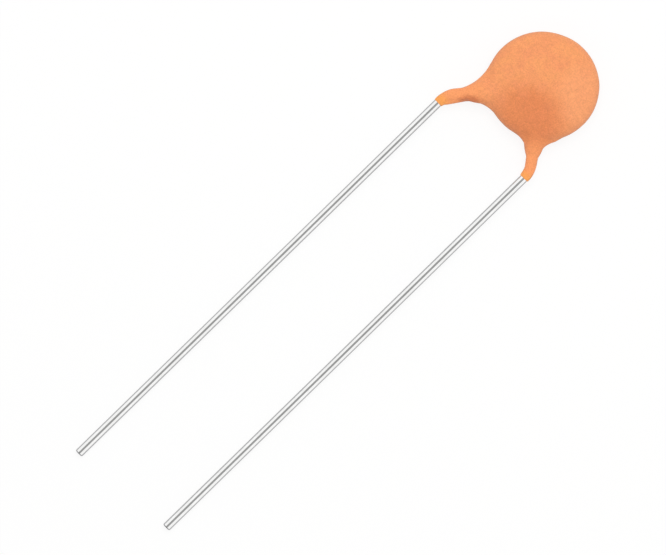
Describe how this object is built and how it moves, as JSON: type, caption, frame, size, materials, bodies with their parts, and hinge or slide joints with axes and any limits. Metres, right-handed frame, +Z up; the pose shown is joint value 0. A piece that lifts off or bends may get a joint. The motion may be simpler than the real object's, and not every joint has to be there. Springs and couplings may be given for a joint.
{
  "type": "ceramic disc capacitor",
  "caption": "Small round disc capacitor in a matte orange dipped coating, with long straight parallel radial leads on splayed coated necks.",
  "frame": {"origin": "centre of the footprint on the surface that the part lies on", "axes": "+Y along the leads towards the disc, +X across the leads towards the back lead, +Z up out of the disc's front face, off by the small lean of the resting part"},
  "size_m": [0.0082, 0.0424, 0.0023],
  "materials": {
    "coating": "matte",
    "ceramic": "matte",
    "silver": "matte",
    "solder": "satin",
    "tinned_wire": "gloss"
  },
  "bodies": {
    "root": {"coating": "coating", "ceramic_disc": "ceramic", "front_electrode": "silver", "back_electrode": "silver", "front_solder": "solder", "back_solder": "solder", "front_lead": "tinned_wire", "back_lead": "tinned_wire"}
  },
  "joints": []
}
